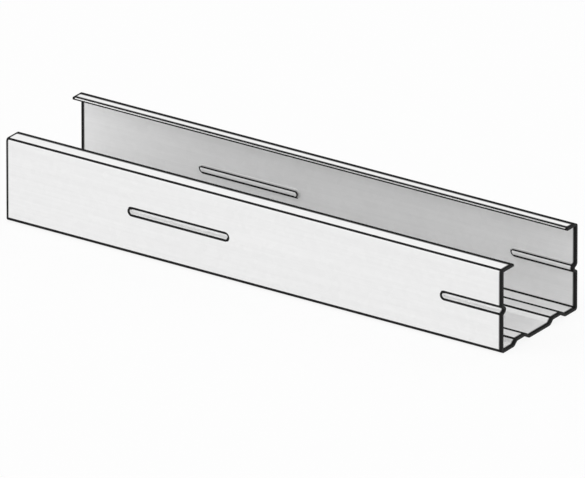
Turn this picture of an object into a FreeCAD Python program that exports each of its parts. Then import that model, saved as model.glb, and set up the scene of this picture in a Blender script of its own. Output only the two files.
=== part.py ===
"""A cut length of a cold-rolled galvanised steel wall stud, lying on its web.

One strip of sheet steel makes the whole stud. It is folded into a C: a web with two
rolled ribs that run its full length, a narrow and a wide flange, and a lip turned in
along the free edge of each flange. The flanges are uneven so that two studs can be
boxed into each other. Grooves with round ends are pressed inwards along both flanges, in
a row at one height and at a steady pitch, and the shear that cuts the stud to length runs
through whatever groove it meets.

X runs along the stud, Y from the narrow flange to the wide one, and Z up. The origin is
the middle of the web's underside. All lengths are in millimetres.
"""

import FreeCAD, Part
import math
import os

# Sheet and cut length
SHEET_THICKNESS = 1.5
STUD_LENGTH = 333.0

# Outside sizes of the section
WEB_WIDTH = 75.0
NARROW_FLANGE_HEIGHT = 50.0
WIDE_FLANGE_HEIGHT = 52.3
NARROW_FLANGE_LIP = 11.6
WIDE_FLANGE_LIP = 10.0

# Inside radii of the folds
WEB_FOLD_RADIUS = 0.3
LIP_FOLD_RADIUS = 0.3

# The two ribs of the web, measured on its underside
RIB_BASE_WIDTH = 14.6
RIB_CREST_WIDTH = 8.8
RIB_HEIGHT = 2.5
RIB_FOLD_RADIUS = 1.2
RIB_SPACING = 35.8

# The grooves of the flanges, measured on their outer face and from the plain end
GROOVE_LENGTH = 66.4
GROOVE_PITCH = 209.4
NARROW_FLANGE_FIRST_GROOVE = 83.2
WIDE_FLANGE_FIRST_GROOVE = 81.2
GROOVE_HEIGHT = 25.6
GROOVE_WIDTH = 3.6
GROOVE_DEPTH = 2.4
GROOVE_ROOT_RADIUS = 0.8
GROOVE_EDGE_RADIUS = 0.3


def unit(start, end):
    """The direction from one (y, z) point to another."""
    run = math.dist(start, end)
    return (end[0] - start[0]) / run, (end[1] - start[1]) / run


def turn_between(before, after):
    """The angle in radians from one direction to the next, positive to the left."""
    cross = before[0] * after[1] - before[1] * after[0]
    dot = before[0] * after[0] + before[1] * after[1]
    return math.atan2(cross, dot)


def parallel(points, distance):
    """The corners of the line that runs to the left of an open run of points."""
    directions = [unit(a, b) for a, b in zip(points, points[1:])]
    before = [directions[0], *directions]
    after = [*directions, directions[-1]]
    corners = []
    for (y, z), first, second in zip(points, before, after):
        half_turn = turn_between(first, second) / 2
        along = -distance * math.tan(half_turn)
        y_moved = y - distance * first[1] + along * first[0]
        z_moved = z + distance * first[0] + along * first[1]
        corners.append((y_moved, z_moved))
    return corners


def rounded_edges(points, radii, x):
    """Straight runs and tangent arcs through (y, z) points, in the plane at x."""
    edges = []
    reached = points[0]
    for before, corner, after, radius in zip(points, points[1:], points[2:], radii):
        into = unit(before, corner)
        out = unit(corner, after)
        turn = turn_between(into, out)
        tangent = radius * math.tan(abs(turn) / 2)
        bulge = radius / math.cos(turn / 2) - radius
        inward = unit((0, 0), (out[0] - into[0], out[1] - into[1]))
        arc_start = (corner[0] - tangent * into[0], corner[1] - tangent * into[1])
        arc_middle = (corner[0] + bulge * inward[0], corner[1] + bulge * inward[1])
        arc_end = (corner[0] + tangent * out[0], corner[1] + tangent * out[1])
        edges.append(line(reached, arc_start, x))
        arc = Part.Arc(at(arc_start, x), at(arc_middle, x), at(arc_end, x))
        edges.append(arc.toShape())
        reached = arc_end
    edges.append(line(reached, points[-1], x))
    return edges


def at(point, x):
    """A (y, z) point of the section, in the plane at x."""
    return FreeCAD.Vector(x, *point)


def line(start, end, x):
    """A straight edge between two (y, z) points, in the plane at x."""
    return Part.LineSegment(at(start, x), at(end, x)).toShape()


def folded_sheet(outer_corners, fold_radii, x):
    """The face of a folded sheet whose outer side follows the corners.

    The sheet's thickness lies to the left of the corners, and each fold has its radius
    on its hollow side.
    """
    inner_corners = parallel(outer_corners, SHEET_THICKNESS)
    directions = [unit(a, b) for a, b in zip(outer_corners, outer_corners[1:])]
    outer_radii = []
    inner_radii = []
    for before, after, radius in zip(directions, directions[1:], fold_radii):
        hollow_inside = turn_between(before, after) > 0
        outer_radii.append(radius + SHEET_THICKNESS if hollow_inside else radius)
        inner_radii.append(radius if hollow_inside else radius + SHEET_THICKNESS)
    outline = [
        *rounded_edges(outer_corners, outer_radii, x),
        line(outer_corners[-1], inner_corners[-1], x),
        *rounded_edges(inner_corners[::-1], inner_radii[::-1], x),
        line(inner_corners[0], outer_corners[0], x),
    ]
    return Part.Face(Part.Wire(outline))


def rib_corners(centre):
    """The four corners of one web rib, on the web's underside."""
    return [
        (centre - RIB_BASE_WIDTH / 2, 0),
        (centre - RIB_CREST_WIDTH / 2, RIB_HEIGHT),
        (centre + RIB_CREST_WIDTH / 2, RIB_HEIGHT),
        (centre + RIB_BASE_WIDTH / 2, 0),
    ]


def plain_stud():
    """The C section with its ribs and lips, as long as the stud and without grooves."""
    side = WEB_WIDTH / 2
    rib_corners_in_order = [
        *rib_corners(-RIB_SPACING / 2),
        *rib_corners(RIB_SPACING / 2),
    ]
    corners = [
        (NARROW_FLANGE_LIP - side, NARROW_FLANGE_HEIGHT),
        (-side, NARROW_FLANGE_HEIGHT),
        (-side, 0),
        *rib_corners_in_order,
        (side, 0),
        (side, WIDE_FLANGE_HEIGHT),
        (side - WIDE_FLANGE_LIP, WIDE_FLANGE_HEIGHT),
    ]
    radii = [
        LIP_FOLD_RADIUS,
        WEB_FOLD_RADIUS,
        *[RIB_FOLD_RADIUS for _ in rib_corners_in_order],
        WEB_FOLD_RADIUS,
        LIP_FOLD_RADIUS,
    ]
    section = folded_sheet(corners, radii, -STUD_LENGTH / 2)
    return section.extrude(FreeCAD.Vector(STUD_LENGTH, 0, 0))


def groove_wall_angle():
    """The angle of a groove's walls to its flange: they touch the round of its root."""
    half_width = GROOVE_WIDTH / 2
    root_centre_depth = GROOVE_DEPTH - GROOVE_ROOT_RADIUS
    edge_to_root_centre = math.hypot(half_width, root_centre_depth)
    angle_to_root_centre = math.atan2(root_centre_depth, half_width)
    return angle_to_root_centre + math.asin(GROOVE_ROOT_RADIUS / edge_to_root_centre)


def groove_reach():
    """How far a groove's bent sheet, with a flat rim round it, reaches from its middle."""
    edge_radius = GROOVE_EDGE_RADIUS + SHEET_THICKNESS
    edge_tangent = edge_radius * math.tan(groove_wall_angle() / 2)
    flat_rim = SHEET_THICKNESS
    return GROOVE_WIDTH / 2 + edge_tangent + flat_rim


def groove_section(face_y, middle_z, inward, x):
    """The section of a groove and its rim, pressed into a flange from its face."""
    half_width = GROOVE_WIDTH / 2
    root_corner_depth = half_width * math.tan(groove_wall_angle())
    reach = groove_reach()
    corners = [
        (face_y, middle_z + inward * reach),
        (face_y, middle_z + inward * half_width),
        (face_y + inward * root_corner_depth, middle_z),
        (face_y, middle_z - inward * half_width),
        (face_y, middle_z - inward * reach),
    ]
    radii = [GROOVE_EDGE_RADIUS, GROOVE_ROOT_RADIUS, GROOVE_EDGE_RADIUS]
    return folded_sheet(corners, radii, x)


def groove_straight():
    """The straight length of a groove, between the middles of its round ends."""
    return GROOVE_LENGTH - GROOVE_WIDTH


def pressed_groove(face_y, middle_z, inward, start_x):
    """A whole groove as bent sheet: a straight run between two half-round ends."""
    end_x = start_x + groove_straight()
    section = groove_section(face_y, middle_z, inward, start_x)
    run = section.extrude(FreeCAD.Vector(groove_straight(), 0, 0))
    upper_half = section.common(upper_side(middle_z, start_x))
    axis = FreeCAD.Vector(0, 1, 0)
    half_turn = 180
    far_end = upper_half.revolve(at((face_y, middle_z), start_x), axis, -half_turn)
    upper_half.translate(FreeCAD.Vector(groove_straight(), 0, 0))
    near_end = upper_half.revolve(at((face_y, middle_z), end_x), axis, half_turn)
    return run.fuse([far_end, near_end])


def upper_side(middle_z, x):
    """A sheet wider than the stud that covers all above a height, in the plane at x."""
    top = middle_z + WIDE_FLANGE_HEIGHT
    corners = [
        at((-WEB_WIDTH, middle_z), x),
        at((WEB_WIDTH, middle_z), x),
        at((WEB_WIDTH, top), x),
        at((-WEB_WIDTH, top), x),
    ]
    return Part.Face(Part.makePolygon([*corners, corners[0]]))


def groove_window(face_y, middle_z, inward, start_x):
    """The slot through a flange that a groove's bent sheet takes the place of."""
    reach = groove_reach()
    end_x = start_x + groove_straight()
    outside_y = face_y - inward * SHEET_THICKNESS
    top = middle_z + reach
    bottom = middle_z - reach
    far_round = Part.Arc(
        FreeCAD.Vector(start_x, outside_y, bottom),
        FreeCAD.Vector(start_x - reach, outside_y, middle_z),
        FreeCAD.Vector(start_x, outside_y, top),
    )
    near_round = Part.Arc(
        FreeCAD.Vector(end_x, outside_y, top),
        FreeCAD.Vector(end_x + reach, outside_y, middle_z),
        FreeCAD.Vector(end_x, outside_y, bottom),
    )
    outline = [
        far_round.toShape(),
        Part.makeLine(far_round.EndPoint, near_round.StartPoint),
        near_round.toShape(),
        Part.makeLine(near_round.EndPoint, far_round.StartPoint),
    ]
    through = 3 * SHEET_THICKNESS
    slot = Part.Face(Part.Wire(outline))
    return slot.extrude(FreeCAD.Vector(0, inward * through, 0))


def groove_starts(first_groove):
    """Where the straight run of each groove of a flange begins, for those the stud shows."""
    starts = []
    groove_end = first_groove - STUD_LENGTH / 2
    while groove_end < STUD_LENGTH / 2:
        starts.append(groove_end + GROOVE_WIDTH / 2)
        groove_end += GROOVE_PITCH
    return starts


def steel_stud():
    """The stud with its grooves, sheared square at both ends."""
    side = WEB_WIDTH / 2
    narrow_flange = (-side, GROOVE_HEIGHT, 1)
    wide_flange = (side, GROOVE_HEIGHT, -1)
    places = [
        *[(*narrow_flange, start) for start in groove_starts(NARROW_FLANGE_FIRST_GROOVE)],
        *[(*wide_flange, start) for start in groove_starts(WIDE_FLANGE_FIRST_GROOVE)],
    ]
    stud = plain_stud().cut([groove_window(*place) for place in places])
    stud = stud.fuse([pressed_groove(*place) for place in places])
    between_shears = Part.makeBox(
        STUD_LENGTH,
        2 * WEB_WIDTH,
        2 * WIDE_FLANGE_HEIGHT,
        FreeCAD.Vector(-STUD_LENGTH / 2, -WEB_WIDTH, -WIDE_FLANGE_HEIGHT),
    )
    return stud.common(between_shears).removeSplitter()


def main():
    os.makedirs("parts", exist_ok=True)
    stud = steel_stud()
    box = stud.BoundBox
    print("solids", len(stud.Solids), "valid", stud.isValid(), "closed", stud.isClosed())
    print("faces", len(stud.Faces), "volume mm3", round(stud.Volume, 1))
    print("size mm", round(box.XLength, 3), round(box.YLength, 3), round(box.ZLength, 3))
    stud.exportStep("parts/stud.step")


main()
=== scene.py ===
"""The finished look of a cut length of galvanised steel wall stud, with its studio.

The stud is one folded sheet. Its outer skin is drawn along X from the corners of the
section, its folds are rounded, and its grooves are pressed and let into the flanges. The
skin is then sheared to length and given the sheet's thickness. Sizes are in metres.
"""

import math

import bmesh
import bpy
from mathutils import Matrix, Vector


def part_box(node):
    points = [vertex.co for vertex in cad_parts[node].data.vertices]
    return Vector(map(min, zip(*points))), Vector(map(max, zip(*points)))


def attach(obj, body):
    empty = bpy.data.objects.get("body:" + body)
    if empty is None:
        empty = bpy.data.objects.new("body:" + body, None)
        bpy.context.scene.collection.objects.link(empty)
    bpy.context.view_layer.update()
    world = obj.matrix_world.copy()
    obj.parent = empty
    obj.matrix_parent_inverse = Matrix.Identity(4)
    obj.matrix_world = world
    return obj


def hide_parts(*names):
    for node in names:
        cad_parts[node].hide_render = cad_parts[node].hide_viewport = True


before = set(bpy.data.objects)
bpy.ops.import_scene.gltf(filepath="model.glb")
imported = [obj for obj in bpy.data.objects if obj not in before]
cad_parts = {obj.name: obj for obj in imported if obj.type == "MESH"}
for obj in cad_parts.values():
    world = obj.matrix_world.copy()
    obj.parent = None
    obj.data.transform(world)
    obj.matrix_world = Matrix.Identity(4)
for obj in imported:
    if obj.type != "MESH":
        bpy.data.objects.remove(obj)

bl_info = {
    "name": "Galvanised Steel Stud",
    "version": (1, 0, 0),
    "blender": (4, 5, 0),
    "location": "View3D > Sidebar > Steel Stud",
    "description": "Builds a roll-formed galvanised steel wall stud and the studio it is shown in",
    "category": "Object",
}

MM = 0.001
TOUCHING = 0.001 * MM
STUD_LOW, STUD_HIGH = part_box("stud")
WHITE = (1.0, 1.0, 1.0, 1.0)

# Steps in the round shapes
FOLD_STEPS = 8
GROOVE_END_STEPS = 20
CUT_EDGE_STEPS = 2
FLOOR_SIDES = 64
ROUND_PROFILE = 0.5

# The skin's painted shade lines, 0 where the zinc is plain and 1 where the painted shade is darkest
SHADE_LAYERS = ("shade_outside", "shade_inside")
FULLY_DARK = 0.4
BURNISHED = -1.0

# Parts of a fold, from 0 at its start to 1 at its end
NOWHERE = (1, 0)
WHOLE_FOLD = (0, 1)
FIRST_HALF = (0.05, 0.5)
SECOND_HALF = (0.5, 1)
RIB_CREST_PART = (0.1, 0.8)

# How deep a groove's painted shade line runs where it faces the eye, in its edge's outer radii
DARK_EDGE_DEPTH = 0.25

# Where painted shade darkens the ridge of a groove, in its fold's radii from the ridge's middle
# line
CREST_LINE_FROM = 0.6
CREST_LINE_TO = 0.8
CREST_LINE_FADED = 1.0
DARK_SIDE_FROM = 0.3

# How far a ridge's painted shade turns round its left end, and the lighter painted shade beside its
# crest
LEFT_END_WEIGHT = 2.0
LEFT_END_RISE = 0.3
BESIDE_CREST_LINE = 0.22

# Each lamp's name, place, width in metres and power in watts
LAMPS = (
    ("key lamp", Vector((-1.8, -2.2, 3.2)), 2.0, 24.0),
    ("fill lamp", Vector((0.8, 2.6, 2.6)), 2.4, 12.0),
)

# How much a ray rises over its length where the walls end, and where the ceiling is full
WALLS_END = 0.4
CEILING_FULL = 0.9

FARTHEST_SEEN = 100.0


def colour(hex_code):
    """An sRGB hex colour as linear red, green and blue."""
    channels = [int(hex_code[i : i + 2], 16) / 255 for i in (0, 2, 4)]
    return [c / 12.92 if c <= 0.04045 else ((c + 0.055) / 1.055) ** 2.4 for c in channels]


def length_property(name, description, default):
    """A length in metres that shows in the scene's own unit."""
    return bpy.props.FloatProperty(
        name=name,
        description=description,
        default=default,
        min=0.0,
        precision=5,
        subtype="DISTANCE",
        unit="LENGTH",
    )


def share_property(name, description, default):
    """A plain number from 0 to 1."""
    return bpy.props.FloatProperty(
        name=name, description=description, default=default, min=0.0, max=1.0
    )


def colour_property(name, description, hex_code):
    """A colour whose default is an sRGB hex code."""
    return bpy.props.FloatVectorProperty(
        name=name,
        description=description,
        default=colour(hex_code),
        size=3,
        min=0.0,
        max=1.0,
        subtype="COLOR",
    )


class StudSizes(bpy.types.PropertyGroup):
    """Sizes of the sheet, its folds, ribs and grooves, and of the painted shade lines on it."""

    sheet: length_property("Sheet", "Thickness of the steel sheet", 1.5 * MM)
    narrow_height: length_property(
        "Narrow Flange", "Outside height of the narrow flange", 50.0 * MM
    )
    narrow_lip: length_property("Narrow Lip", "Width of the narrow flange's lip", 11.6 * MM)
    wide_lip: length_property("Wide Lip", "Width of the wide flange's lip", 10.0 * MM)
    web_fold: length_property("Web Folds", "Inside radius where web meets flange", 0.3 * MM)
    lip_fold: length_property("Lip Folds", "Inside radius where flange meets lip", 0.3 * MM)
    rib_base: length_property("Rib Base", "Width of a web rib at its base", 14.6 * MM)
    rib_crest: length_property("Rib Crest", "Width of a web rib at its crest", 8.8 * MM)
    rib_height: length_property("Rib Height", "How far a web rib stands up", 2.5 * MM)
    rib_fold: length_property("Rib Folds", "Radius on the hollow side of a rib fold", 1.2 * MM)
    rib_spacing: length_property("Rib Spacing", "From one web rib to the other", 35.8 * MM)
    groove_length: length_property("Groove Length", "Whole length of a groove", 66.4 * MM)
    groove_pitch: length_property("Groove Pitch", "From one groove to the next", 209.4 * MM)
    narrow_first_groove: length_property(
        "First Groove, Narrow", "From the plain end to the narrow flange's first groove", 83.2 * MM
    )
    wide_first_groove: length_property(
        "First Groove, Wide", "From the plain end to the wide flange's first groove", 81.2 * MM
    )
    groove_height: length_property(
        "Groove Height", "From the web's underside to the middle of a groove", 25.6 * MM
    )
    groove_width: length_property("Groove Width", "Width of a groove's mouth", 3.6 * MM)
    groove_depth: length_property("Groove Depth", "Depth of a groove", 2.4 * MM)
    groove_root: length_property("Groove Root", "Radius at a groove's bottom", 0.8 * MM)
    groove_edge: length_property("Groove Edge", "Inside radius of a groove's edges", 0.3 * MM)
    # The dark lines sized below are painted shade along the folds, ribs, grooves, lips and ends.
    shade_fold: length_property(
        "Shaded Folds", "How far from a fold its dark line has faded out", 0.6 * MM
    )
    shade_crest: length_property(
        "Shaded Crests", "How far from its folds a rib's dark line fades out on its crest", 1.8 * MM
    )
    shade_groove: length_property(
        "Shaded Grooves", "How far outside a groove's edge its dark line fades out", 0.3 * MM
    )
    # Painted shade: how much light shade lies over the ridges inside, from 0 for none.
    shade_ridge: share_property(
        "Shaded Ridges", "How hard the rolls rub the ridges inside, from 0 for not at all", 0.08
    )
    shade_narrow_lip: length_property(
        "Shaded Narrow Lip", "How far in the dark line of the narrow lip fades out", 3.6 * MM
    )
    shade_wide_lip: length_property(
        "Shaded Wide Lip", "How far in the dark lines of the wide lip fade out", 3.0 * MM
    )
    shade_plain_end: length_property(
        "Plain End, Outside", "How far in that end's outer dark line fades out", 1.7 * MM
    )
    shade_plain_end_inside: length_property(
        "Plain End, Inside", "How far in that end's inner dark line fades out", 2.6 * MM
    )
    shade_grooved_end: length_property(
        "Grooved End", "How far in that end's dark lines fade out, outside and inside", 2.6 * MM
    )
    shade_end_gap: length_property(
        "End Gap", "From an end's dark line to the burnished root of a groove", 0.3 * MM
    )
    cut_bevel: length_property("Cut Edge", "How far the shear rounds a cut edge", 0.06 * MM)
    cut_corner: bpy.props.FloatProperty(
        name="Cut Corner",
        description="Corners that turn more than this are a cut edge's, and are rounded",
        default=math.radians(60),
        subtype="ANGLE",
        unit="ROTATION",
    )
    burnished_band: length_property(
        "Burnished Band", "Height of the bright band along a lip's slit edge", 0.65 * MM
    )


class StudFinish(bpy.types.PropertyGroup):
    """Colours of the zinc and the bare steel, their patterns and how they reflect."""

    zinc_outside: colour_property("Zinc Outside", "Zinc on the outer side", "F6F6F6")
    # Painted shade: the inner side's zinc is a little darker than the outer side's.
    shaded_zinc_inside: colour_property("Zinc Inside", "Zinc on the inner side", "F3F3F3")
    # Painted shade: the dark colour of the shade lines along folds and cut edges.
    shade_line_zinc: colour_property(
        "Painted Shade Zinc", "Zinc rubbed dark along folds and cut edges", "2A2A2A"
    )
    sheared_steel: colour_property("Sheared Steel", "Bare steel of the ends", "222222")
    slit_steel: colour_property("Slit Steel", "Zinc-smeared long edges", "F6F6F6")
    metallic: share_property("Metallic", "How far the zinc reflects as bare metal does", 0.7)
    smoothest: share_property("Smoothest", "Roughness of the smoothest zinc crystals", 0.64)
    roughest: share_property("Roughest", "Roughness of the roughest zinc crystals", 0.72)
    burnished: share_property(
        "Burnished", "Share of the roughness left where a groove's root is burnished", 0.45
    )
    darkest_crystal: share_property(
        "Darkest Crystal", "Tone of the darkest zinc crystal, beside the palest", 0.965
    )
    darkest_line: share_property(
        "Darkest Line", "Tone of the darkest roll line, beside the palest", 0.97
    )
    cut_roughness: share_property("Cut Roughness", "Roughness of the cut edges", 0.5)
    tear_tone: share_property(
        "Tear Tone", "How much the tears of a cut edge darken and lighten it", 0.2
    )
    spangle: length_property("Spangle", "Size of the zinc's crystals", 3.0 * MM)
    roll_line: length_property("Roll Lines", "Spacing of the faint roll lines", 1.6 * MM)
    line_stretch: share_property(
        "Line Stretch", "Width of a roll line beside its length along the strip", 0.02
    )
    skin_pass: length_property("Skin Pass Grain", "Grain of the skin-passed zinc", 0.5 * MM)
    zinc_relief: length_property("Zinc Relief", "Depth of the zinc's lines and grain", 0.02 * MM)
    zinc_bump: share_property("Zinc Bump", "How strongly the zinc's relief shows", 0.25)
    tear_relief: length_property("Tear Relief", "Depth of the tears of a cut edge", 0.03 * MM)
    tear_bump: share_property("Tear Bump", "How strongly the tears' relief shows", 0.4)


class StudioSettings(bpy.types.PropertyGroup):
    """The photograph's viewing angle and framing, and the level of the light."""

    azimuth: bpy.props.FloatProperty(
        name="Azimuth",
        description="Direction the camera looks from, turned from the narrow flange's side",
        default=math.radians(34.26),
        subtype="ANGLE",
        unit="ROTATION",
    )
    elevation: bpy.props.FloatProperty(
        name="Elevation",
        description="Height of the camera above the level",
        default=math.radians(23.16),
        subtype="ANGLE",
        unit="ROTATION",
    )
    frame_width: length_property(
        "Frame Width", "What the picture's width spans at the stud", 325.1 * MM
    )
    aim_right: length_property(
        "Aim Right", "How far right of the stud's middle the camera aims", 1.05 * MM
    )
    aim_down: length_property(
        "Aim Down", "How far below the stud's middle the camera aims", 9.68 * MM
    )
    lens: bpy.props.FloatProperty(
        name="Lens",
        description="Focal length in millimetres, long enough to keep parallels parallel",
        default=1400.0,
        min=50.0,
        max=1400.0,
    )
    floor_colour: colour_property("Floor", "Colour of the floor", "F4F4F4")
    floor_radius: length_property("Floor Radius", "Radius of the floor", 3.0)
    floor_whiteness: share_property(
        "Floor Whiteness", "How much of the floor shows plain white, without the shadow", 0.85
    )
    lamp_level: bpy.props.FloatProperty(
        name="Lamp Level", description="Strength of the two soft lamps", default=1.0, min=0.0
    )
    sky_level: bpy.props.FloatProperty(
        name="Sky Level", description="Light from all round the studio", default=0.85, min=0.0
    )
    ceiling_level: share_property(
        "Ceiling Level", "How bright the ceiling is in reflections, beside the white walls", 0.9
    )


def unit(start, end):
    """The direction from one (y, z) point to another."""
    run = math.dist(start, end)
    return (end[0] - start[0]) / run, (end[1] - start[1]) / run


def step(point, direction, distance):
    """The (y, z) point a distance away in a direction."""
    return point[0] + direction[0] * distance, point[1] + direction[1] * distance


def fold_setback(before, corner, after, radius):
    """How far from its corner a fold of that radius begins."""
    into = unit(before, corner)
    out = unit(corner, after)
    turn = math.acos(into[0] * out[0] + into[1] * out[1])
    return radius * math.tan(turn / 2)


def long_edge(bm, corner):
    """The edge that runs along X through a (y, z) corner."""
    for edge in bm.edges:
        if all(math.dist(v.co.yz, corner) < TOUCHING for v in edge.verts):
            return edge
    raise RuntimeError(f"No edge runs through {corner}")


def with_line_margins(corners, radii, margins):
    """The corners with a point let in near both ends of each flat between them.

    Each flat has its margin, which is how far from its two folds or its tip a painted shade
    line fades out.
    """
    trios = zip(corners, corners[1:], corners[2:], radii)
    setbacks = [0, *[fold_setback(*trio) for trio in trios], 0]
    flats = zip(corners, corners[1:], setbacks, setbacks[1:], margins)
    points = [corners[0]]
    for start, end, start_setback, end_setback, margin in flats:
        points.append(step(start, unit(start, end), start_setback + margin))
        points.append(step(end, unit(end, start), end_setback + margin))
        points.append(end)
    return points


def draw_section(points, corners, radii, shades, start_x, end_x):
    """A skin through (y, z) points from one X to another, with the corners rounded.

    Its layers mark where painted shade lines darken the zinc on the outer and the inner side of
    the sheet. For each fold, its entry gives the part painted with shade outside and inside.
    """
    bm = bmesh.new()
    layers = [bm.verts.layers.float.new(name) for name in SHADE_LAYERS]
    verts = [bm.verts.new((start_x, *point)) for point in points]
    edges = [bm.edges.new(pair) for pair in zip(verts, verts[1:])]
    drawn = bmesh.ops.extrude_edge_only(bm, edges=edges)
    moved = [g for g in drawn["geom"] if isinstance(g, bmesh.types.BMVert)]
    bmesh.ops.translate(bm, verts=moved, vec=(end_x - start_x, 0, 0))
    folds = zip(corners, corners[1:], corners[2:], radii, shades)
    for before, corner, after, radius, sides in folds:
        setback = fold_setback(before, corner, after, radius)
        fold_start = step(corner, unit(corner, before), setback)
        fold_end = step(corner, unit(corner, after), setback)
        rounded = bmesh.ops.bevel(
            bm,
            geom=[long_edge(bm, corner)],
            offset=setback,
            offset_type="OFFSET",
            segments=FOLD_STEPS,
            profile=ROUND_PROFILE,
            affect="EDGES",
            material=-1,
        )
        for vert in rounded["verts"]:
            from_start = math.dist(vert.co.yz, fold_start)
            way_round = from_start / (from_start + math.dist(vert.co.yz, fold_end))
            # Painted shade along the part of the fold given for each side
            for layer, (shade_start, shade_end) in zip(layers, sides):
                vert[layer] = float(shade_start <= way_round <= shade_end)
    return bm


def stud_section(sizes):
    """The section's outer corners, each fold's radius and painted shade parts, and each flat's
    margin.
    """
    side = STUD_HIGH.y
    wide_height = STUD_HIGH.z
    ribs = []
    for turn in (-1, 1):
        centre = turn * sizes.rib_spacing / 2
        ribs += [
            (centre - sizes.rib_base / 2, 0),
            (centre - sizes.rib_crest / 2, sizes.rib_height),
            (centre + sizes.rib_crest / 2, sizes.rib_height),
            (centre + sizes.rib_base / 2, 0),
        ]
    corners = [
        (sizes.narrow_lip - side, sizes.narrow_height),
        (-side, sizes.narrow_height),
        (-side, 0),
        *ribs,
        (side, 0),
        (side, wide_height),
        (side - sizes.wide_lip, wide_height),
    ]
    lip_radius = sizes.lip_fold + sizes.sheet
    web_radius = sizes.web_fold + sizes.sheet
    foot_radius = sizes.rib_fold + sizes.sheet
    rib_radii = [foot_radius, sizes.rib_fold, sizes.rib_fold, foot_radius]
    radii = [lip_radius, web_radius, *rib_radii, *rib_radii, web_radius, lip_radius]
    # Which part of each fold is painted with shade, outside and inside
    foot = (NOWHERE, NOWHERE)
    rib_shades = [foot, (NOWHERE, RIB_CREST_PART), (NOWHERE, WHOLE_FOLD), foot]
    shades = [
        (FIRST_HALF, NOWHERE),
        (WHOLE_FOLD, WHOLE_FOLD),
        *rib_shades,
        *rib_shades,
        (WHOLE_FOLD, WHOLE_FOLD),
        (SECOND_HALF, NOWHERE),
    ]
    rib_margins = [sizes.shade_fold, sizes.shade_crest, sizes.shade_fold]
    margins = [
        sizes.shade_narrow_lip,
        sizes.shade_fold,
        sizes.shade_fold,
        *rib_margins,
        sizes.shade_fold,
        *rib_margins,
        sizes.shade_fold,
        sizes.shade_fold,
        sizes.shade_wide_lip,
    ]
    return corners, radii, shades, margins


def groove_section(sizes, face_y, inward):
    """A groove's corners on the outer skin from the top, and the radius of each fold."""
    middle_z = sizes.groove_height
    half_width = sizes.groove_width / 2
    centre_depth = sizes.groove_depth - sizes.groove_root
    centre_distance = math.hypot(half_width, centre_depth)
    wall_angle = math.atan2(centre_depth, half_width)
    wall_angle += math.asin(sizes.groove_root / centre_distance)
    edge_radius = sizes.groove_edge + sizes.sheet
    reach = half_width + edge_radius * math.tan(wall_angle / 2) + sizes.shade_groove
    corners = [
        (face_y, middle_z + reach),
        (face_y, middle_z + half_width),
        (face_y + inward * half_width * math.tan(wall_angle), middle_z),
        (face_y, middle_z - half_width),
        (face_y, middle_z - reach),
    ]
    return corners, [edge_radius, sizes.groove_root, edge_radius]


def pressed_groove(sizes, face_y, inward, start_x):
    """The skin of one groove: a straight run, and its section turned about each end."""
    end_x = start_x + sizes.groove_length - sizes.groove_width
    middle_z = sizes.groove_height
    corners, radii = groove_section(sizes, face_y, inward)
    # No painted shade from the folds here; the groove's painted shade is set afterwards
    unshaded = [(NOWHERE, NOWHERE)] * len(radii)
    bm = draw_section(corners, corners, radii, unshaded, start_x, end_x)
    for x, half_turn in ((start_x, -math.pi), (end_x, math.pi)):
        upper = [
            edge
            for edge in bm.edges
            if all(abs(v.co.x - x) < TOUCHING and v.co.z > middle_z - TOUCHING for v in edge.verts)
        ]
        bmesh.ops.spin(
            bm,
            geom=upper + list({v for edge in upper for v in edge.verts}),
            cent=(x, face_y, middle_z),
            axis=(0, 1, 0),
            angle=half_turn,
            steps=GROOVE_END_STEPS,
        )
    bmesh.ops.remove_doubles(bm, verts=bm.verts, dist=TOUCHING)
    shade_groove(bm, sizes, face_y, start_x, end_x)
    return bm


def shade_groove(bm, sizes, face_y, start_x, end_x):
    """Paints shade on a groove's edge outside, and on the ridge that the groove makes inside.

    Outside, painted shade darkens all down the groove's upper side and right end, which slope
    away from the eye, and the very edge only of its lower side and left end. The tool that
    presses it burnishes its root.

    Inside, the ridge stands proud and catches more light, so a light painted shade lies all
    over it. Painted shade is dark along its crest's upper side and right end, and all down its
    lower side and left end, which slope away from the eye there.
    """
    outside, inside = [bm.verts.layers.float[name] for name in SHADE_LAYERS]
    root = sizes.groove_root
    root_depth = sizes.groove_depth - root
    dark_edge_depth = (sizes.groove_edge + sizes.sheet) * DARK_EDGE_DEPTH
    for vert in bm.verts:
        if vert.is_boundary:
            continue
        left = min(max(vert.co.x, start_x), end_x) - vert.co.x
        below = sizes.groove_height - vert.co.z
        depth = abs(vert.co.y - face_y)
        # Outside: the burnished root, and painted shade on the groove's edge
        if depth > root_depth:
            vert[outside] = BURNISHED
        else:
            vert[outside] = float(left + below < 0 or TOUCHING < depth < dark_edge_depth)
        # Inside: painted shade on the ridge's crest line and dark side, and lighter over the rest
        way_out = math.hypot(left, below) / root
        on_crest_line = CREST_LINE_FROM < way_out < CREST_LINE_TO
        on_dark_side = LEFT_END_WEIGHT * left + below > DARK_SIDE_FROM * root
        on_dark_slope = way_out < CREST_LINE_FROM or below > -LEFT_END_RISE * left
        if on_crest_line or on_dark_side and on_dark_slope:
            vert[inside] = 1.0
        elif CREST_LINE_TO < way_out < CREST_LINE_FADED:
            vert[inside] = BESIDE_CREST_LINE
        else:
            vert[inside] = sizes.shade_ridge


def join_skin(bm, other):
    """Moves another skin's geometry into this one."""
    mesh = bpy.data.meshes.new("joined_skin")
    other.to_mesh(mesh)
    other.free()
    bm.from_mesh(mesh)
    bpy.data.meshes.remove(mesh)


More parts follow.
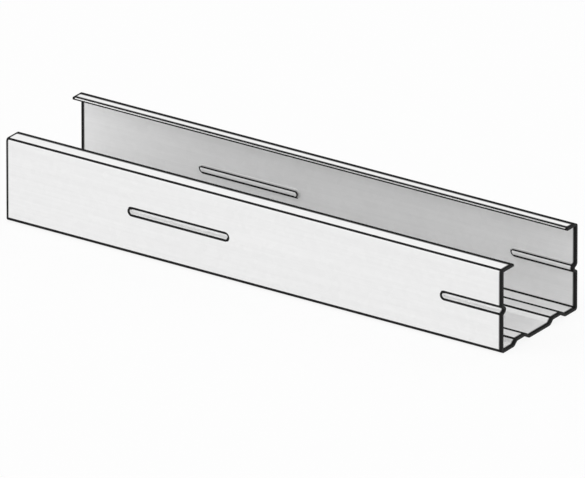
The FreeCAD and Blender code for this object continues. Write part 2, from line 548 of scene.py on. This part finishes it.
def let_in_grooves(bm, face_y, grooves):
    """Takes the flat of a flange out and fills it again round its grooves."""
    flats = [f for f in bm.faces if all(abs(v.co.y - face_y) < TOUCHING for v in f.verts)]
    flat = max(flats, key=lambda face: face.calc_area())
    bmesh.ops.delete(bm, geom=[flat], context="FACES_ONLY")
    for groove in grooves:
        join_skin(bm, groove)
    open_edges = [
        edge
        for edge in bm.edges
        if len(edge.link_faces) < 2
        and all(abs(v.co.y - face_y) < TOUCHING for v in edge.verts)
    ]
    bmesh.ops.triangle_fill(bm, use_beauty=True, edges=open_edges)


def groove_starts(sizes, first_groove):
    """Where the straight run of each groove of a flange begins, for those the stud shows."""
    starts = []
    groove_x = STUD_LOW.x + first_groove
    while groove_x < STUD_HIGH.x:
        starts.append(groove_x + sizes.groove_width / 2)
        groove_x += sizes.groove_pitch
    return starts


def cut_across(bm, x, outward, clear_outer):
    """Cuts the skin across at x, and clears what lies outward of the cut if asked to."""
    bmesh.ops.bisect_plane(
        bm,
        geom=[*bm.verts, *bm.edges, *bm.faces],
        plane_co=(x, 0, 0),
        plane_no=(outward, 0, 0),
        clear_outer=clear_outer,
    )


def shade_cut_edges(bm):
    """Paints shade lines on the zinc at the skin's open edges, which are the sheared and slit ones.
    """
    layers = [bm.verts.layers.float[name] for name in SHADE_LAYERS]
    for edge in bm.edges:
        if edge.is_boundary:
            for vert in edge.verts:
                for layer in layers:
                    vert[layer] = 1.0


def shade_beside(bm, x, lengths):
    """Paints a shade line on each side of the skin beside the end at x, fading over that side's
    length.
    """
    for name, length in zip(SHADE_LAYERS, lengths):
        layer = bm.verts.layers.float[name]
        for vert in bm.verts:
            distance = abs(vert.co.x - x)
            if distance < length + TOUCHING:
                vert[layer] = max(vert[layer], 1 - distance / length, 0)


def stud_skin(sizes):
    """The stud's outer skin, rolled past both its ends and then sheared to length."""
    narrow_starts = groove_starts(sizes, sizes.narrow_first_groove)
    wide_starts = groove_starts(sizes, sizes.wide_first_groove)
    overrun = sizes.groove_width
    rolled_start = STUD_LOW.x - overrun
    rolled_end = max(narrow_starts + wide_starts) + sizes.groove_length + overrun
    corners, radii, shades, margins = stud_section(sizes)
    points = with_line_margins(corners, radii, margins)
    bm = draw_section(points, corners, radii, shades, rolled_start, rolled_end)
    flanges = ((STUD_LOW.y, 1, narrow_starts), (STUD_HIGH.y, -1, wide_starts))
    for face_y, inward, starts in flanges:
        grooves = [pressed_groove(sizes, face_y, inward, x) for x in starts]
        let_in_grooves(bm, face_y, grooves)
    # Painted shade lines run in from both ends, outside and inside
    plain_end = (STUD_LOW.x, -1, (sizes.shade_plain_end, sizes.shade_plain_end_inside))
    grooved_end = (STUD_HIGH.x, 1, (sizes.shade_grooved_end, sizes.shade_grooved_end))
    for x, outward, lengths in (plain_end, grooved_end):
        for length in sorted({*lengths, max(lengths) + sizes.shade_end_gap}):
            cut_across(bm, x - outward * length, outward, False)
        cut_across(bm, x, outward, True)
        shade_beside(bm, x, lengths)
    # Painted shade lines along the open edges
    shade_cut_edges(bm)
    bmesh.ops.recalc_face_normals(bm, faces=bm.faces)
    web = max(bm.faces, key=lambda face: -face.calc_center_median().z * face.calc_area())
    if web.normal.z > 0:
        bmesh.ops.reverse_faces(bm, faces=bm.faces)
    return bm


def add_node(tree, kind, settings=None, inputs=None):
    """Adds a shader node with its settings, and sets or links its inputs."""
    node = tree.nodes.new(kind)
    for name, value in (settings or {}).items():
        setattr(node, name, value)
    for name, value in (inputs or {}).items():
        socket = node.inputs[name]
        if isinstance(value, bpy.types.NodeSocket):
            tree.links.new(value, socket)
        else:
            socket.default_value = value
    return node


def new_material(name):
    """An empty node material and its output node."""
    material = bpy.data.materials.new(name)
    material.use_nodes = True
    tree = material.node_tree
    tree.nodes.clear()
    return material, tree, add_node(tree, "ShaderNodeOutputMaterial")


def skin_passed_zinc_and_shade(name, zinc, shade_layer, finish):
    """Hot-dip galvanised sheet, rolled once more to an even matt after dipping.

    To the eye it is a pale grey, softly reflecting metal. The zinc's crystals are
    flattened to faint patches, the rolls leave fine lines along the strip, and painted shade
    draws a darker line along each fold and edge, which also darkens its glancing reflection.
    """
    material, tree, output = new_material(name)
    place = add_node(tree, "ShaderNodeTexCoord").outputs["Object"]
    along = add_node(
        tree,
        "ShaderNodeMapping",
        inputs={"Vector": place, "Scale": (finish.line_stretch, 1.0, 1.0)},
    )
    crystals = add_node(
        tree,
        "ShaderNodeTexVoronoi",
        {"feature": "F1"},
        {"Vector": place, "Scale": 1 / finish.spangle, "Randomness": 1.0},
    )
    roll_lines = add_node(
        tree,
        "ShaderNodeTexNoise",
        inputs={
            "Vector": along.outputs["Vector"],
            "Scale": 1 / finish.roll_line,
            "Detail": 3.0,
            "Roughness": 0.55,
        },
    )
    grain = add_node(
        tree,
        "ShaderNodeTexNoise",
        inputs={"Vector": place, "Scale": 1 / finish.skin_pass, "Detail": 2.0},
    )
    crystal_tone = add_node(
        tree,
        "ShaderNodeMapRange",
        inputs={
            "Value": crystals.outputs["Color"],
            "To Min": finish.darkest_crystal,
            "To Max": 1.0,
        },
    )
    line_tone = add_node(
        tree,
        "ShaderNodeMapRange",
        inputs={
            "Value": roll_lines.outputs["Fac"],
            "From Min": 0.3,
            "From Max": 0.7,
            "To Min": finish.darkest_line,
            "To Max": 1.0,
        },
    )
    tone = add_node(
        tree,
        "ShaderNodeMath",
        {"operation": "MULTIPLY"},
        {0: crystal_tone.outputs["Result"], 1: line_tone.outputs["Result"]},
    )
    mottled = add_node(
        tree,
        "ShaderNodeVectorMath",
        {"operation": "SCALE"},
        {0: tuple(zinc), "Scale": tone.outputs["Value"]},
    )
    # Painted shade lines: this layer darkens the zinc's colour and its glancing reflection
    rub = add_node(tree, "ShaderNodeAttribute", {"attribute_name": shade_layer})
    rubbed = add_node(
        tree,
        "ShaderNodeMapRange",
        {"interpolation_type": "SMOOTHSTEP"},
        {"Value": rub.outputs["Fac"], "From Min": 0.0, "From Max": FULLY_DARK},
    )
    coated_and_shaded = add_node(
        tree,
        "ShaderNodeMix",
        {"data_type": "RGBA"},
        {
            "Factor": rubbed.outputs["Result"],
            "A": mottled.outputs["Vector"],
            "B": (*finish.shade_line_zinc, 1.0),
        },
    )
    # Painted shade in the glancing reflection along the same lines
    glancing = add_node(
        tree,
        "ShaderNodeMix",
        {"data_type": "RGBA"},
        {
            "Factor": rubbed.outputs["Result"],
            "A": WHITE,
            "B": (*finish.shade_line_zinc, 1.0),
        },
    )
    dullness = add_node(
        tree,
        "ShaderNodeMapRange",
        inputs={
            "Value": crystals.outputs["Color"],
            "To Min": finish.smoothest,
            "To Max": finish.roughest,
        },
    )
    unburnished = add_node(
        tree,
        "ShaderNodeMapRange",
        inputs={
            "Value": rub.outputs["Fac"],
            "From Min": BURNISHED,
            "From Max": 0.0,
            "To Min": finish.burnished,
            "To Max": 1.0,
        },
    )
    roughness = add_node(
        tree,
        "ShaderNodeMath",
        {"operation": "MULTIPLY"},
        {0: dullness.outputs["Result"], 1: unburnished.outputs["Result"]},
    )
    relief = add_node(
        tree,
        "ShaderNodeMath",
        {"operation": "ADD"},
        {0: roll_lines.outputs["Fac"], 1: grain.outputs["Fac"]},
    )
    bump = add_node(
        tree,
        "ShaderNodeBump",
        inputs={
            "Height": relief.outputs["Value"],
            "Strength": finish.zinc_bump,
            "Distance": finish.zinc_relief,
        },
    )
    surface = add_node(
        tree,
        "ShaderNodeBsdfPrincipled",
        inputs={
            "Base Color": coated_and_shaded.outputs["Result"],
            "Metallic": finish.metallic,
            "Roughness": roughness.outputs["Value"],
            "Specular Tint": glancing.outputs["Result"],
            "Normal": bump.outputs["Normal"],
        },
    )
    tree.links.new(surface.outputs["BSDF"], output.inputs["Surface"])
    return material


def cut_steel(sizes, finish):
    """The sheet's cut edges: the ends sheared dark, the long edges slit before rolling.

    To the eye the sheared ends are a dark torn grey. The edge of each lip has the two bands
    that slitting leaves: a bright burnished one above, and a dark torn one below that is also
    painted shade along the lip's lower edge.
    """
    material, tree, output = new_material("cut_steel")
    place = add_node(tree, "ShaderNodeTexCoord").outputs["Object"]
    xyz = add_node(tree, "ShaderNodeSeparateXYZ", inputs={"Vector": place})
    from_middle = add_node(
        tree, "ShaderNodeMath", {"operation": "ABSOLUTE"}, {0: xyz.outputs["X"]}
    )
    between_ends = add_node(
        tree,
        "ShaderNodeMath",
        {"operation": "LESS_THAN"},
        {0: from_middle.outputs["Value"], 1: STUD_HIGH.x - sizes.shade_plain_end},
    )
    lip_top = add_node(
        tree,
        "ShaderNodeMapRange",
        {"interpolation_type": "STEPPED"},
        {
            "Value": xyz.outputs["Y"],
            "From Min": STUD_LOW.y,
            "From Max": STUD_HIGH.y,
            "To Min": sizes.narrow_height,
            "To Max": STUD_HIGH.z,
            "Steps": 1.0,
        },
    )
    burnished_from = add_node(
        tree,
        "ShaderNodeMath",
        {"operation": "SUBTRACT"},
        {0: lip_top.outputs["Result"], 1: sizes.burnished_band},
    )
    in_band = add_node(
        tree,
        "ShaderNodeMath",
        {"operation": "GREATER_THAN"},
        {0: xyz.outputs["Z"], 1: burnished_from.outputs["Value"]},
    )
    burnished = add_node(
        tree,
        "ShaderNodeMath",
        {"operation": "MULTIPLY"},
        {0: between_ends.outputs["Value"], 1: in_band.outputs["Value"]},
    )
    # Below the bright band the dark steel is a torn band and also painted shade under the lip
    cut = add_node(
        tree,
        "ShaderNodeMix",
        {"data_type": "RGBA"},
        {
            "Factor": burnished.outputs["Value"],
            "A": (*finish.sheared_steel, 1.0),
            "B": (*finish.slit_steel, 1.0),
        },
    )
    tears = add_node(
        tree,
        "ShaderNodeTexNoise",
        inputs={"Vector": place, "Scale": 1 / finish.skin_pass, "Detail": 4.0},
    )
    tone = add_node(
        tree,
        "ShaderNodeMapRange",
        inputs={
            "Value": tears.outputs["Fac"],
            "To Min": 1 - finish.tear_tone,
            "To Max": 1 + finish.tear_tone,
        },
    )
    torn = add_node(
        tree,
        "ShaderNodeVectorMath",
        {"operation": "SCALE"},
        {0: cut.outputs["Result"], "Scale": tone.outputs["Result"]},
    )
    bump = add_node(
        tree,
        "ShaderNodeBump",
        inputs={
            "Height": tears.outputs["Fac"],
            "Strength": finish.tear_bump,
            "Distance": finish.tear_relief,
        },
    )
    surface = add_node(
        tree,
        "ShaderNodeBsdfPrincipled",
        inputs={
            "Base Color": torn.outputs["Vector"],
            "Metallic": 1.0,
            "Roughness": finish.cut_roughness,
            "Normal": bump.outputs["Normal"],
        },
    )
    tree.links.new(surface.outputs["BSDF"], output.inputs["Surface"])
    return material


def show_mesh(bm, name):
    """Makes a mesh object of a bmesh, at the origin, and frees the bmesh."""
    mesh = bpy.data.meshes.new(name)
    bm.to_mesh(mesh)
    bm.free()
    piece = bpy.data.objects.new(name, mesh)
    bpy.context.scene.collection.objects.link(piece)
    return piece


def stud_sheet(sizes, finish):
    """The whole stud: its skin given the sheet's thickness, and its cut edges eased."""
    piece = show_mesh(stud_skin(sizes), "stud_sheet")
    piece.data.shade_smooth()
    outside, inside = SHADE_LAYERS
    # Both zincs carry painted shade lines, and the inner one is painted a little darker as shade
    for material in (
        skin_passed_zinc_and_shade("skin_passed_zinc_and_shade_outside", finish.zinc_outside, outside, finish),
        skin_passed_zinc_and_shade("skin_passed_zinc_and_shade_inside", finish.shaded_zinc_inside, inside, finish),
        cut_steel(sizes, finish),
    ):
        piece.data.materials.append(material)
    thicken = piece.modifiers.new("sheet thickness", "SOLIDIFY")
    thicken.thickness = sizes.sheet
    thicken.offset = -1.0
    thicken.use_even_offset = True
    thicken.material_offset = 1
    thicken.material_offset_rim = 2
    ease = piece.modifiers.new("cut edges", "BEVEL")
    ease.width = sizes.cut_bevel
    ease.segments = CUT_EDGE_STEPS
    ease.limit_method = "ANGLE"
    ease.angle_limit = sizes.cut_corner
    ease.harden_normals = True
    ease.miter_outer = "MITER_ARC"
    flatten = piece.modifiers.new("flat faces", "WEIGHTED_NORMAL")
    flatten.keep_sharp = True
    return piece


def seen_or_reflected(tree):
    """1 for rays that meet the eye directly, in a reflection or through glass, else 0."""
    path = add_node(tree, "ShaderNodeLightPath")
    seen = add_node(
        tree,
        "ShaderNodeMath",
        {"operation": "MAXIMUM"},
        {0: path.outputs["Is Camera Ray"], 1: path.outputs["Is Glossy Ray"]},
    )
    both = add_node(
        tree,
        "ShaderNodeMath",
        {"operation": "MAXIMUM"},
        {0: seen.outputs["Value"], 1: path.outputs["Is Transmission Ray"]},
    )
    return both.outputs["Value"]


def paper_floor(studio):
    """Matt white studio paper: a plain white to the eye that keeps a soft shadow."""
    material, tree, output = new_material("white_studio_paper")
    paper = add_node(
        tree, "ShaderNodeBsdfDiffuse", inputs={"Color": (*studio.floor_colour, 1.0)}
    )
    white = add_node(tree, "ShaderNodeEmission", inputs={"Strength": 1.0})
    whiteness = add_node(
        tree,
        "ShaderNodeMath",
        {"operation": "MULTIPLY"},
        {0: seen_or_reflected(tree), 1: studio.floor_whiteness},
    )
    mixed = add_node(
        tree,
        "ShaderNodeMixShader",
        inputs={
            "Fac": whiteness.outputs["Value"],
            1: paper.outputs["BSDF"],
            2: white.outputs["Emission"],
        },
    )
    tree.links.new(mixed.outputs["Shader"], output.inputs["Surface"])
    return material


def light_room(studio):
    """White to the eye and in reflections, and a soft even light on everything else."""
    world = bpy.data.worlds.new("studio")
    world.use_nodes = True
    tree = world.node_tree
    tree.nodes.clear()
    output = add_node(tree, "ShaderNodeOutputWorld")
    soft = add_node(
        tree,
        "ShaderNodeBackground",
        inputs={"Color": WHITE, "Strength": studio.sky_level},
    )
    direction = add_node(tree, "ShaderNodeTexCoord").outputs["Generated"]
    height = add_node(tree, "ShaderNodeSeparateXYZ", inputs={"Vector": direction})
    ceiling = add_node(
        tree,
        "ShaderNodeMapRange",
        {"interpolation_type": "SMOOTHSTEP"},
        {
            "Value": height.outputs["Z"],
            "From Min": WALLS_END,
            "From Max": CEILING_FULL,
            "To Min": 1.0,
            "To Max": studio.ceiling_level,
        },
    )
    white = add_node(
        tree,
        "ShaderNodeBackground",
        inputs={"Color": WHITE, "Strength": ceiling.outputs["Result"]},
    )
    mixed = add_node(
        tree,
        "ShaderNodeMixShader",
        inputs={
            "Fac": seen_or_reflected(tree),
            1: soft.outputs["Background"],
            2: white.outputs["Background"],
        },
    )
    tree.links.new(mixed.outputs["Shader"], output.inputs["Surface"])
    bpy.context.scene.world = world


def soft_lamp(name, place, aim, width, power):
    """A square area lamp at a place, turned to the point it lights."""
    light = bpy.data.lights.new(name, "AREA")
    light.shape = "SQUARE"
    light.size = width
    light.energy = power
    lamp = bpy.data.objects.new(name, light)
    lamp.location = place
    lamp.rotation_euler = (aim - place).to_track_quat("-Z", "Y").to_euler()
    bpy.context.scene.collection.objects.link(lamp)


def photograph_camera(studio, aim):
    """A long lens at the photograph's angle, framed as the photograph is."""
    camera = bpy.data.cameras.new("camera")
    camera.lens = studio.lens
    camera.clip_end = FARTHEST_SEEN
    back = Vector(
        (
            math.sin(studio.azimuth) * math.cos(studio.elevation),
            -math.cos(studio.azimuth) * math.cos(studio.elevation),
            math.sin(studio.elevation),
        )
    )
    turned = (-back).to_track_quat("-Z", "Y")
    distance = studio.frame_width / camera.sensor_width * camera.lens
    sideways = turned @ Vector((studio.aim_right, -studio.aim_down, 0))
    eye = bpy.data.objects.new("camera", camera)
    eye.location = aim + sideways + back * distance
    eye.rotation_euler = turned.to_euler()
    bpy.context.scene.collection.objects.link(eye)
    bpy.context.scene.camera = eye


class STEELSTUD_OT_form_sheet(bpy.types.Operator):
    """Forms the stud's sheet with its folds, ribs and grooves, and gives it its finish"""

    bl_idname = "steel_stud.form_sheet"
    bl_label = "Form the Sheet"

    def execute(self, context):
        piece = stud_sheet(context.scene.stud_sizes, context.scene.stud_finish)
        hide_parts("stud")
        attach(piece, "root")
        return {"FINISHED"}


class STEELSTUD_OT_set_stage(bpy.types.Operator):
    """Lays the pale floor, lights it softly and sets the camera"""

    bl_idname = "steel_stud.set_stage"
    bl_label = "Set the Stage"

    def execute(self, context):
        studio = context.scene.stud_studio
        bm = bmesh.new()
        bmesh.ops.create_circle(
            bm, cap_ends=True, segments=FLOOR_SIDES, radius=studio.floor_radius
        )
        floor = show_mesh(bm, "floor")
        floor.data.materials.append(paper_floor(studio))
        light_room(studio)
        middle = (STUD_LOW + STUD_HIGH) / 2
        for name, place, width, power in LAMPS:
            soft_lamp(name, place, middle, width, power * studio.lamp_level)
        photograph_camera(studio, middle)
        context.scene.view_settings.view_transform = "Standard"
        return {"FINISHED"}


class STEELSTUD_PT_panel(bpy.types.Panel):
    """The stud's sizes, its finish and its studio"""

    bl_idname = "STEELSTUD_PT_panel"
    bl_label = "Steel Stud"
    bl_space_type = "VIEW_3D"
    bl_region_type = "UI"
    bl_category = "Steel Stud"

    def draw(self, context):
        layout = self.layout
        layout.use_property_split = True
        for title, group, operator in (
            ("Sheet and Folds", context.scene.stud_sizes, None),
            ("Finish", context.scene.stud_finish, STEELSTUD_OT_form_sheet),
            ("Studio", context.scene.stud_studio, STEELSTUD_OT_set_stage),
        ):
            box = layout.box()
            box.label(text=title)
            for name in group.__annotations__:
                box.prop(group, name)
            if operator:
                box.operator(operator.bl_idname)


CLASSES = (
    StudSizes,
    StudFinish,
    StudioSettings,
    STEELSTUD_OT_form_sheet,
    STEELSTUD_OT_set_stage,
    STEELSTUD_PT_panel,
)


def register():
    for each in CLASSES:
        bpy.utils.register_class(each)
    bpy.types.Scene.stud_sizes = bpy.props.PointerProperty(type=StudSizes)
    bpy.types.Scene.stud_finish = bpy.props.PointerProperty(type=StudFinish)
    bpy.types.Scene.stud_studio = bpy.props.PointerProperty(type=StudioSettings)


def unregister():
    del bpy.types.Scene.stud_studio
    del bpy.types.Scene.stud_finish
    del bpy.types.Scene.stud_sizes
    for each in reversed(CLASSES):
        bpy.utils.unregister_class(each)


def main():
    """Builds the stud and its studio."""
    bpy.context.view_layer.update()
    register()
    bpy.ops.steel_stud.form_sheet()
    bpy.ops.steel_stud.set_stage()


if __name__ == "__main__":
    main()
